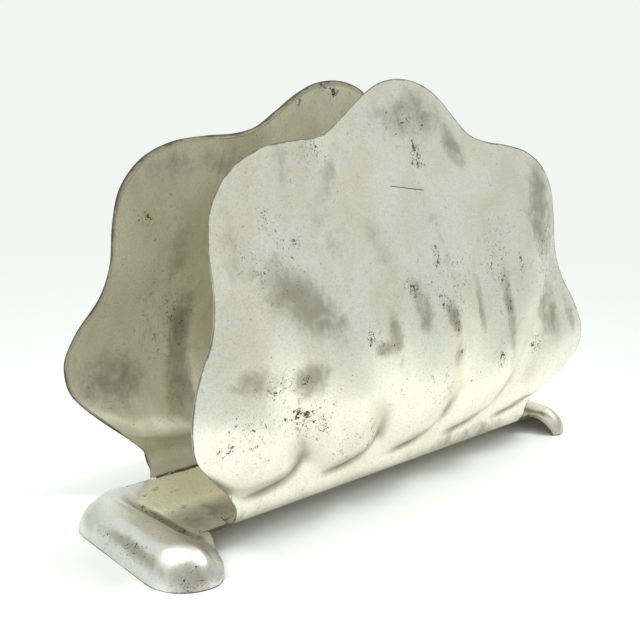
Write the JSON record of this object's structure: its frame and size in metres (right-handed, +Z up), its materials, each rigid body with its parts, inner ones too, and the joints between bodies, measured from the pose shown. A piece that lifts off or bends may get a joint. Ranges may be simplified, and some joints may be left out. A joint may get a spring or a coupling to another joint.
{
  "type": "napkin holder",
  "caption": "Tabletop napkin holder: facing fluted scallop-shell plates on a narrow floor, with a hollow rounded foot at each end.",
  "frame": {"origin": "on the table, under the middle of the holder", "axes": "+X along the holder to its right end, +Y from the front shell to the rear shell, +Z up"},
  "size_m": [0.1618, 0.0624, 0.108],
  "materials": {
    "shell_silver": "worn, tarnished silver plate, satin",
    "plate_silver": "tarnished silver plate, satin",
    "foot_silver": "worn silver plate, half bright",
    "solder": "blackened soft solder, rough"
  },
  "bodies": {
    "root": {"front_shell": "shell_silver", "rear_shell": "shell_silver", "base_plate": "plate_silver", "left_foot": "foot_silver", "right_foot": "foot_silver", "front_seam": "solder", "rear_seam": "solder", "left_foot_seam": "solder", "right_foot_seam": "solder"}
  },
  "joints": []
}
